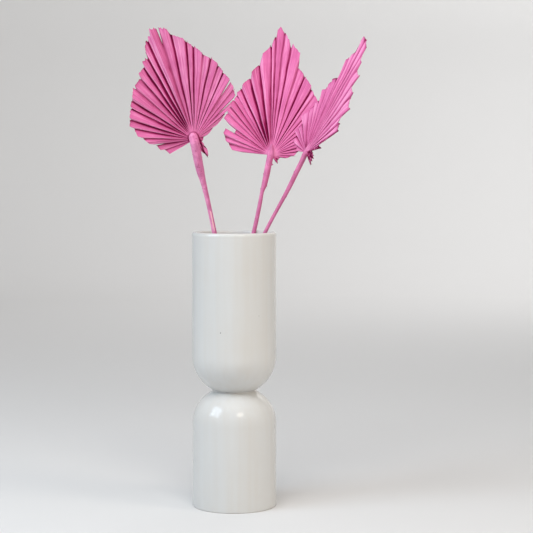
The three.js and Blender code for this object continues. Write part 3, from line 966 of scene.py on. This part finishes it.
def blade_columns(leaf):
    """The lines along which the blade is modelled, from its left edge to its right one.

    Each has its angle and reach, its place in the fold (0 in a valley, 1 on a ridge), the side of
    the ridge that it is on, its dye, and what its pleat drew.
    """
    draws = seeded_random(leaf.seed)
    extra = seeded_random(leaf.seed + EXTRA_DRAWS)
    columns = []
    rows = leaf.pleats
    for i, row in enumerate(rows):
        start, at_start, at_ridge, at_end = row[:4]
        following = rows[i + 1] if i + 1 < len(rows) else (leaf.edge,)
        width = following[0] - start
        middle = start + width / 2
        half = min(1, max(-1, middle / RIDGE_CENTRED_WITHIN))
        ridge = start + width * (0.5 + RIDGE_OFFSET * half + RIDGE_SPREAD * (2 * next(draws) - 1))
        rise = leaf.rise * (1 + RISE_SPREAD * (2 * next(draws) - 1)) * math.radians(width)
        shape = {
            "rise": rise if middle < 0 else rise * leaf.flatter,
            "bow": BOW * (next(extra) - BOW_CENTRE),
            "curl": 2 * next(extra) - 1,
            "scorch": RIM_NARROWING[0] + RIM_NARROWING[1] * next(extra),
            "burn": leaf.burnt * next(extra) ** 2,
        }
        notch = NOTCHES[0] + NOTCHES[1] * next(extra) ** 3
        shape["nick"] = NICK_TONE * (next(extra) > 1 - NICK_SHARE)
        valleys = leaf.valleys[i : i + 2]
        if i > 0:
            torn = max(SHORTEST_VALLEY, min(columns[-1].reach, at_start) - notch)
            if len(row) > 4:
                torn = row[4]
            line = {"angle": start, "reach": torn, "fold": 0, "furrow": 0, "tone": VALLEY_TONE}
            columns.append(SimpleNamespace(**line, span=0, side=-1, depth=valleys[0], **shape))
        torn_open = math.degrees(TEAR_WIDTH / 2 / at_start)
        opened = start + (VALLEY_GAP + torn_open * (len(row) > 4))
        closing = following[0] - (VALLEY_GAP + torn_open * (len(following) > 4))
        for side, base, cut in ((1, opened, at_start), (-1, closing, at_end)):
            furrow = FURROW * (2 * next(extra) - 1)
            thorn = THORN_LENGTH * max(0, next(extra) - (1 - THORN_SHARE)) / THORN_SHARE
            glow = GLOW * (2 * next(extra) - 1)
            # The faces' tones are partly painted light and shade: on the left half the narrow face
            # after the valley is painted lighter against its shade
            if side < 0:
                face_tone = BEFORE_TONE + glow
            elif middle < 0:
                face_tone = AFTER_TONE_LEFT
            else:
                face_tone = AFTER_TONE_RIGHT + glow
            for fold in FACE_STEPS if side > 0 else FACE_STEPS[-2::-1]:
                tone = face_tone
                # Painted shade where the furrow sinks, painted light where it rises
                if fold == MIDDLE_STEP:
                    tone += FURROW_TONE * furrow
                # Painted light (above 0) or painted shade (below 0) on the right half of the blade
                if middle >= 0:
                    tone += leaf.right_tone
                # The ridge line carries a painted highlight
                if fold == 1:
                    tone = RIDGE_TONE
                reach = cut + (at_ridge - cut) * fold
                if fold == CREASE_STEP:
                    reach += thorn
                columns.append(
                    SimpleNamespace(
                        angle=base + (ridge - base) * fold,
                        reach=reach,
                        fold=fold,
                        furrow=furrow,
                        tone=tone,
                        span=math.radians(abs(ridge - base)),
                        side=side,
                        depth=valleys[-1] if side < 0 else valleys[0],
                        **shape,
                    )
                )
    return columns


def fold_height(fold, bow, furrow):
    """How high the blade stands in a fold, from 0 in the valley to nearly 1 on the rounded ridge."""
    past = max(0, fold - (1 - RIDGE_ROUNDING))
    height = fold - past * past / (2 * RIDGE_ROUNDING) + bow * math.sin(math.pi * fold)
    return height + furrow * bell(fold - MIDDLE_STEP, FURROW_WIDTH)


def ring_distances(reach):
    """How far out the rings of points lie, close together at the stalk and at the cut edge."""
    length = reach - BLADE_START
    near = min(NEAR_ZONE, NEAR_ZONE_SHARE * length)
    rim = min(RIM_ZONE, RIM_ZONE_SHARE * length)
    near_rings, middle_rings, rim_rings = RING_COUNTS
    return BLADE_START + np.concatenate(
        [
            np.linspace(0, near, near_rings, endpoint=False),
            np.linspace(near, length - rim, middle_rings, endpoint=False),
            np.linspace(length - rim, length, rim_rings),
        ]
    )


def frayed_reach(leaf, column):
    """Where a line of the blade ends on its frayed and partly ragged cut edge."""
    fray = sum(
        depth * noise_at(column.angle * often, leaf.offset, layer) for depth, often, layer in FRAY
    )
    fray *= min(1, column.reach / FRAY_FULL_AT)
    ragged_from, ragged_to, ragged = leaf.ragged
    if ragged_from < column.angle < ragged_to:
        fray += ragged * noise_at(column.angle * RAGGED_WAVES, leaf.offset, RAGGED_LAYER)
    return max(SHORTEST_LINE, column.reach + fray)


def blade_spot(leaf, column, reach, distance):
    """Where a point of the blade lies, and how much it belongs to stalk, swelling or shut folds."""
    offset = leaf.offset
    across, along = WANDER_LENGTHS
    wander = WANDER * noise_at(column.angle / across, distance / along, offset)
    angle = math.radians(column.angle + wander * min(1, distance / WANDER_FULL_AT))
    x, y = distance * math.sin(angle), distance * math.cos(angle)
    # Above the stalk its pale, smooth body runs on up the middle of the blade
    peak_width, peak_length = leaf.peak
    peak = bell(x, peak_width) * (y > 0)
    peak *= 1 - smoothstep(PEAK_FULL * peak_length, peak_length, y)
    # Stalk and blade grew together in a low swelling that the folds run into
    wide, long, _ = leaf.collar
    from_collar = (x / wide) ** 2 + ((y - long + COLLAR_BASE) / long) ** 2
    grown = math.exp(-from_collar / COLLAR_SPREAD**2)
    closed_at, closed_width, closed_from_stalk, closed_length = leaf.closed
    closed = bell(column.angle - closed_at, closed_width)
    shut = closed * bell(distance - closed_from_stalk, closed_length)
    return SimpleNamespace(
        x=x, y=y, distance=distance, reach=reach, peak=peak, grown=grown, shut=shut
    )


def blade_height(leaf, column, spot):
    """How far a point of the blade stands out of the leaf's plane."""
    distance, offset = spot.distance, leaf.offset
    across = distance * math.sin(math.radians(column.angle))
    height = leaf.cup * (across / CUP_WIDTH) ** 2 - leaf.lift
    rise = column.rise * (1 + CLOSED_RISE * spot.shut) * (1 - PEAK_FLATTENS * spot.peak)
    begun = smoothstep(FOLDS_FROM * leaf.smooth, leaf.smooth, distance)
    rise *= SMOOTH_HEIGHT + (1 - SMOOTH_HEIGHT) * begun
    share = fold_height(column.fold, column.bow, column.furrow)
    height += share * rise * distance / (1 + distance / RISE_FADES_AT)
    crease = CREASE_DEPTH * max(0, 1 - column.fold / CREASE_STEP)
    height -= crease * min(1, distance / CREASE_FULL_AT)
    past = max(0, abs(column.angle) - BASAL_ANGLE) / (180 - BASAL_ANGLE)
    fall = leaf.fall[0 if column.angle < 0 else 1]
    height -= fall * math.sqrt(past) * distance
    wave = noise_at(spot.x / WAVE_LENGTH, spot.y / WAVE_LENGTH, offset)
    degrees, along = RIPPLE_LENGTHS
    ripple = noise_at(column.angle / degrees, distance / along, offset)
    height += (WAVE * wave + RIPPLE * ripple) * min(1, distance / WAVE_FULL_AT)
    curled = max(0, distance - (spot.reach - CURL_LENGTH)) / CURL_LENGTH
    return height + CURL * column.curl * curled**2


def blade_tone(leaf, column, spot):
    """Tone at a point of the blade, from 0 where it is deep to 1 where it is light: dye, painted light
    and painted shade.
    """
    distance, smooth = spot.distance, leaf.smooth
    past_edge = distance - spot.reach
    outward = smoothstep(OUTWARD_FROM, 1, distance / spot.reach)
    tone = column.tone + leaf.pale + OUTWARD_TONE * outward
    inner = 1 - smoothstep(DYE_FROM * smooth, CENTRE_TO * smooth, distance)
    tone += (leaf.centre_tone - tone) * CENTRE_SHARE * inner
    # Each valley has a dark band, partly dye gathered there and partly painted shade, that narrows
    # towards the cut edge. It lies on the face before the valley, and the face after it starts with a
    # painted highlight along its rib
    depth = column.depth * smoothstep(DYE_FROM * smooth, smooth, distance)
    depth *= 1 - BAND_FADE * smoothstep(-BAND_FADE_LENGTH, 0, past_edge)
    # Painted shade in the nick where some valleys meet the cut edge
    depth += column.nick * math.exp(past_edge / NICK_LENGTH)
    face = column.span * distance
    beside = column.fold * face
    if column.side < 0:
        least, inwards, outwards, most = BAND_BEFORE
        band = least + inwards * face * (1 - outward) + min(outwards * face, most) * outward
    else:
        least, outwards, most = BAND_AFTER
        band = least + min(outwards * face, most)
        lighter, place, width = RIB
        tone += lighter * depth * bell(beside - place, width)
    tone += (leaf.line_tone - tone) * min(1, depth) * bell(beside, band)
    # Painted shade in the folds that are nearly shut, less on the face after the valley
    closed = CLOSED_TONE * spot.shut * (1 - column.fold)
    tone -= closed if column.side < 0 else closed * CLOSED_AFTER
    # Blotched painted shadow on the lowest lobes, behind the blade
    shade = leaf.shade * smoothstep(*leaf.shaded, column.angle)
    shade *= 1 - smoothstep(leaf.shade_depth - SHADE_FADE, leaf.shade_depth, distance)
    blotch = noise_at(spot.x / BLOTCH_LENGTH, spot.y / BLOTCH_LENGTH, leaf.offset)
    tone += (SHADE_TONE + SHADE_BLOTCH * blotch - tone) * shade
    # The darker cut edge, partly painted shade where the tips curl back
    tone -= column.burn * math.exp(past_edge / EDGE_DARK_LENGTH)
    tone += (PALE_TONE - tone) * PALE_SHARE * max(spot.grown, spot.peak)
    # A painted shadow line round where the end of the stalk stands up from the blade
    round_end = math.hypot(spot.x / END_WIDTH, max(0, spot.y - END_START) / END_LENGTH)
    left, more = END_LINE_TONES
    line = leaf.arc * (left + more * smoothstep(*END_LINE_TURNS, spot.x))
    place, width = END_LINE
    return max(0, tone - line * bell(round_end - place, width))


def blade_mesh(leaf, thickness):
    """Points in the leaf's own axes, faces and maps of a pleated blade."""
    columns = blade_columns(leaf)
    thick = leaf.collar[2]
    front, swell, fibres, traits, growth = [], [], [], [], []
    for column in columns:
        reach = frayed_reach(leaf, column)
        for distance in ring_distances(reach):
            spot = blade_spot(leaf, column, reach, distance)
            front.append((spot.x, spot.y, blade_height(leaf, column, spot)))
            swell.append(spot.grown * thick)
            fibres.append((column.angle / MAP_DEGREES + leaf.offset, distance / MAP_LENGTH))
            traits.append((blade_tone(leaf, column, spot), (reach - distance) * column.scorch))
            growth.append((max(spot.grown, spot.peak), 0))
    front = np.array(front)
    inside = smoothstep(0, FULL_THICKNESS_AT, np.array(traits)[:, 1])
    half = thickness / 2 * (EDGE_THICKNESS + (1 - EDGE_THICKNESS) * inside)
    lift = np.zeros_like(front)
    lift[:, 2] = half + swell
    points = np.concatenate([front + lift, front - lift])
    count, rings = len(columns), sum(RING_COUNTS)
    size = count * rings
    faces = []
    for i in range(count - 1):
        for k in range(rings - 1):
            a, b = i * rings + k, (i + 1) * rings + k
            faces.append((a, b, b + 1, a + 1))
            faces.append((size + b + 1, size + b, size + a, size + a + 1))
        a, b = i * rings, (i + 1) * rings
        faces.append((b, a, size + a, size + b))
        a, b = a + rings - 1, b + rings - 1
        faces.append((a, b, size + b, size + a))
    last = (count - 1) * rings
    for k in range(rings - 1):
        faces.append((k, k + 1, size + k + 1, size + k))
        faces.append((last + k + 1, last + k, size + last + k, size + last + k + 1))
    return points, faces, fibres * 2, traits * 2, growth * 2


def smooth_path(stations, step):
    """A smooth curve through the rows of stations, about a step apart."""
    stations = np.asarray(stations, float)
    lengths = np.linalg.norm(np.diff(stations[:, :3], axis=0), axis=1)
    slopes = np.diff(stations, axis=0) / lengths[:, None]
    tangents = np.empty_like(stations)
    tangents[0], tangents[-1] = slopes[0], slopes[-1]
    before, after = lengths[:-1, None], lengths[1:, None]
    tangents[1:-1] = (slopes[:-1] * after + slopes[1:] * before) / (before + after)
    rows = []
    for i, length in enumerate(lengths):
        for t in np.arange(0, 1, min(1, step / length)):
            rows.append(
                (2 * t**3 - 3 * t**2 + 1) * stations[i]
                + (t**3 - 2 * t**2 + t) * length * tangents[i]
                + (3 * t**2 - 2 * t**3) * stations[i + 1]
                + (t**3 - t**2) * length * tangents[i + 1]
            )
    rows.append(stations[-1])
    return np.array(rows)


def stalk_half_width(leaf, half, run, turn, side):
    """Half the width of a stalk at a distance from its foot, with its knobs, flutes and burrs."""
    swell = 1
    if run >= FOOT_REST and not RIM_REST[0] < run < RIM_REST[1]:
        for depth, often, length in (KNOBS, FLUTES):
            along = run / length + leaf.stalk_offset
            swell += depth * noise_at(turn.x * often, turn.y * often, along)
    half *= swell
    for burr_run, burr_side, burr_height in leaf.burrs:
        near = ((run - burr_run) / BURR_LENGTH) ** 2 + ((side - burr_side) / BURR_WIDTH) ** 2
        half += burr_height * math.exp(-near) * (turn.y < BURR_FRONT)
    return half


def stalk_mesh(leaf, axes):
    """Points in the leaf's own axes, faces and maps of the stalk, with its end on the blade."""
    junction = np.array(leaf.junction)
    stations = [(*(axes.T @ (np.array(row[:3]) - junction)), row[3]) for row in leaf.stalk]
    for along, width in leaf.tongue:
        stations.append((0, along, leaf.lift * TONGUE_SINK, width))
    rows = smooth_path(stations, STALK_STEP)
    # The end on the blade is rounded off
    end_direction = rows[-1, :3] - rows[-2, :3]
    end_direction /= np.linalg.norm(end_direction)
    end_width = rows[-1, 3]
    cap = []
    for angle in np.radians(CAP_ANGLES):
        centre = rows[-1, :3] + end_direction * end_width * CAP_LENGTH * math.sin(angle)
        cap.append((*centre, end_width * math.cos(angle)))
    rows = np.concatenate([rows, cap])
    viewer = axes.T @ np.array((0, -1, 0))
    viewer_right = axes.T @ np.array((1, 0, 0))
    split_from, split_to, split_side = leaf.split
    points, fibres, sides, glows, run = [], [], [], [], 0
    for i, row in enumerate(rows):
        along = rows[min(i + 1, len(rows) - 1), :3] - rows[max(i - 1, 0), :3]
        along /= np.linalg.norm(along)
        across = np.cross(along, viewer)
        across /= np.linalg.norm(across)
        deep = np.cross(across, along)
        if i:
            run += np.linalg.norm(row[:3] - rows[i - 1, :3])
        ending = smoothstep(len(rows) - ENDING_ROWS[0], len(rows) - ENDING_ROWS[1], i)
        stripped = smoothstep(split_from - SPLIT_START, split_from, run) * (run < split_to)
        for k in range(STALK_SIDES + 1):
            fibres.append((2 * k / STALK_SIDES + leaf.stalk_offset, run / MAP_LENGTH))
            if k == STALK_SIDES:
                continue
            angle = 2 * math.pi * k / STALK_SIDES
            turn = Vector((math.cos(angle), math.sin(angle), 0))
            side = (across * turn.x) @ viewer_right
            half = stalk_half_width(leaf, row[3] / 2, run, turn, side)
            points.append(row[:3] + across * half * turn.x + deep * half * STALK_DEPTH * turn.y)
            # Which way each point faces as seen, for the painted light and shade on the stalk's sides
            sides.append((1, side * (1 - ENDING_EVEN * ending)))
            split = stripped * bell(side - split_side, SPLIT_WIDTH) * (turn.y > 0)
            glows.append(ENDING_TONE * ending + SPLIT_TONE * split)
    foot, top = len(points), len(points) + 1
    points.extend([rows[0, :3], rows[-1, :3] + end_direction * end_width * CAP_TIP])
    faces, corners = [], []
    seam = STALK_SIDES + 1
    for i in range(len(rows) - 1):
        for k in range(STALK_SIDES):
            following = (k + 1) % STALK_SIDES
            a, b = i * STALK_SIDES, (i + 1) * STALK_SIDES
            faces.append((a + k, b + k, b + following, a + following))
            corners.extend([(i, k), (i + 1, k), (i + 1, k + 1), (i, k + 1)])
    last = len(rows) - 1
    for k in range(STALK_SIDES):
        following = (k + 1) % STALK_SIDES
        faces.append((foot, k, following))
        corners.extend([(0, k), (0, k), (0, k + 1)])
        faces.append((top, last * STALK_SIDES + following, last * STALK_SIDES + k))
        corners.extend([(last, k), (last, k + 1), (last, k)])
    sides.extend([(1, 0), (1, 0)])
    glows.extend([0, ENDING_TONE])
    return np.array(points), faces, [fibres[i * seam + k] for i, k in corners], sides, glows


def core_mesh(leaf):
    """Points and faces of the middle of the collar, under the end of the stalk."""
    profile = [(math.sin(a), -math.cos(a)) for a in np.linspace(0, math.pi, CORE_RINGS)]
    profile[0], profile[-1] = (0, -1), (0, 1)
    points, faces = lathe(profile, CORE_SIDES)
    points = points * np.array((CORE, CORE, leaf.collar[2]))
    points += np.array((0, 0, -leaf.lift))
    return points, faces


def united(name, parts):
    """One closed mesh from closed meshes that run into each other."""
    whole = parts[0]
    for part in parts[1:]:
        join = whole.modifiers.new("join", "BOOLEAN")
        join.operation = "UNION"
        join.solver = "MANIFOLD"
        join.object = part
    evaluated = whole.evaluated_get(bpy.context.evaluated_depsgraph_get())
    mesh = bpy.data.meshes.new_from_object(evaluated)
    for part in parts:
        bpy.data.objects.remove(part)
    mesh.name = name
    obj = bpy.data.objects.new(name, mesh)
    bpy.context.scene.collection.objects.link(obj)
    return obj


class PALMVASE_OT_add_leaves(bpy.types.Operator):
    """Fold, cut and dye the three palm leaves and set them in the vase"""

    bl_idname = "palm_vase.add_leaves"
    bl_label = "Add Dried Palm Leaves"
    bl_options = {"REGISTER", "UNDO"}

    def execute(self, context):
        settings = context.scene.palm_vase_leaf
        materials = [dyed_palm_blade(settings), dyed_palm_stalk(settings)]
        for name, row in LEAVES.items():
            seed = row["seed"]
            offsets = {"offset": seed * BLADE_NOISE, "stalk_offset": seed * STALK_NOISE}
            leaf = SimpleNamespace(**row, **offsets)
            axes = leaf_axes(leaf)
            points, faces, *maps = blade_mesh(leaf, settings.thickness / MM)
            blade = new_object("blade", points * MM, faces, materials)
            for kind, values in zip(("Fibres", "Traits", "Growth"), maps):
                paint_map(blade.data, kind, values)

            points, faces, corners, sides, glows = stalk_mesh(leaf, axes)
            stalk = new_object("stalk", points * MM, faces, materials)
            stalk.data.polygons.foreach_set("material_index", [1] * len(faces))
            layer = stalk.data.uv_layers.new(name="Fibres")
            layer.uv.foreach_set("vector", np.array(corners, np.float32).ravel())
            tones = [(leaf.stalk_tone + glow, NO_EDGE) for glow in glows]
            paint_map(stalk.data, "Traits", tones)
            paint_map(stalk.data, "Growth", sides)

            points, faces = core_mesh(leaf)
            core = new_object("core", points * MM, faces, materials)
            turns = np.arctan2(points[:, 0], points[:, 1])[:, None]
            paint_map(core.data, "Fibres", turns * [CORE_TURN, 0])
            paint_map(core.data, "Traits", [(CORE_TONE, NO_EDGE)] * len(points))
            paint_map(core.data, "Growth", [(1, 0)] * len(points))

            whole = united("dried_" + name, [blade, core, stalk])
            turn = Matrix(axes.tolist()).to_4x4()
            whole.data.transform(Matrix.Translation(Vector(leaf.junction) * MM) @ turn)
            whole.data.set_sharp_from_angle(angle=math.radians(SHARP_ANGLE))
            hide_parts(name)
            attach(whole, "root")
        return {"FINISHED"}


def add_softbox(name, power, place, target, size, colour):
    """A rectangular softbox that faces its target."""
    light = bpy.data.lights.new(name, "AREA")
    light.shape = "RECTANGLE"
    light.size, light.size_y = size
    light.energy = power
    light.color = colour
    lamp = bpy.data.objects.new(name, light)
    lamp.location = place
    lamp.rotation_euler = (Vector(target) - Vector(place)).to_track_quat("-Z", "Y").to_euler()
    lamp.visible_camera = False
    bpy.context.scene.collection.objects.link(lamp)
    return lamp


class PALMVASE_OT_set_stage(bpy.types.Operator):
    """Set the plain floor, the soft lights and the camera"""

    bl_idname = "palm_vase.set_stage"
    bl_label = "Set Stage"
    bl_options = {"REGISTER", "UNDO"}

    def execute(self, context):
        settings = context.scene.palm_vase_stage
        scene = context.scene
        scene.view_settings.view_transform = "Standard"
        profile = [(0, 0), (FLOOR_DISC, 0), (settings.floor_radius, 0)]
        profile += arc(settings.floor_radius, TURN_RADIUS, TURN_RADIUS, -90, 0, TURN_STEPS)[1:]
        profile.append((settings.floor_radius + TURN_RADIUS, WALL_HEIGHT))
        points, faces = lathe([*profile, (0, WALL_HEIGHT)], STAGE_SIDES)
        # The lathe closes the top, and the stage is open there
        faces = [face for face in faces if len(points) - 1 not in face]
        new_object("floor", points, faces, [studio_paint(settings)])

        for name, row in LIGHTS.items():
            lamp = add_softbox(name + "_light", getattr(settings, name + "_power"), *row)
            lamp.visible_glossy = name in SEEN_IN_GLAZE

        world = bpy.data.worlds.new("even_sky")
        world.use_nodes = True
        sky = world.node_tree.nodes["Background"]
        sky.inputs["Color"].default_value = opaque(settings.sky)
        sky.inputs["Strength"].default_value = settings.sky_strength
        scene.world = world

        lens = bpy.data.cameras.new("camera")
        lens.lens = LENS
        lens.sensor_width = SENSOR
        camera = bpy.data.objects.new("camera", lens)
        camera.location = CAMERA_PLACE
        camera.rotation_euler = (math.radians(90 - CAMERA_PITCH), 0, 0)
        scene.collection.objects.link(camera)
        scene.camera = camera
        return {"FINISHED"}


class PALMVASE_PT_panel(bpy.types.Panel):
    """The pieces of the arrangement, with their sizes and colours"""

    bl_idname = "PALMVASE_PT_panel"
    bl_label = "Palm Leaves in Vase"
    bl_space_type = "VIEW_3D"
    bl_region_type = "UI"
    bl_category = "Palm Vase"

    def draw(self, context):
        for group, operator in (
            ("palm_vase_vase", "palm_vase.add_vase"),
            ("palm_vase_leaf", "palm_vase.add_leaves"),
            ("palm_vase_stage", "palm_vase.set_stage"),
        ):
            box = self.layout.box()
            settings = getattr(context.scene, group)
            for name in settings.__annotations__:
                box.prop(settings, name)
            box.operator(operator)


CLASSES = (
    VaseSettings,
    LeafSettings,
    StageSettings,
    PALMVASE_OT_add_vase,
    PALMVASE_OT_add_leaves,
    PALMVASE_OT_set_stage,
    PALMVASE_PT_panel,
)


def register():
    for cls in CLASSES:
        bpy.utils.register_class(cls)
    bpy.types.Scene.palm_vase_vase = bpy.props.PointerProperty(type=VaseSettings)
    bpy.types.Scene.palm_vase_leaf = bpy.props.PointerProperty(type=LeafSettings)
    bpy.types.Scene.palm_vase_stage = bpy.props.PointerProperty(type=StageSettings)


def unregister():
    del bpy.types.Scene.palm_vase_stage
    del bpy.types.Scene.palm_vase_leaf
    del bpy.types.Scene.palm_vase_vase
    for cls in reversed(CLASSES):
        bpy.utils.unregister_class(cls)


def main():
    register()
    bpy.ops.palm_vase.add_vase()
    bpy.ops.palm_vase.add_leaves()
    bpy.ops.palm_vase.set_stage()
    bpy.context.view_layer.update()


if __name__ == "__main__":
    main()
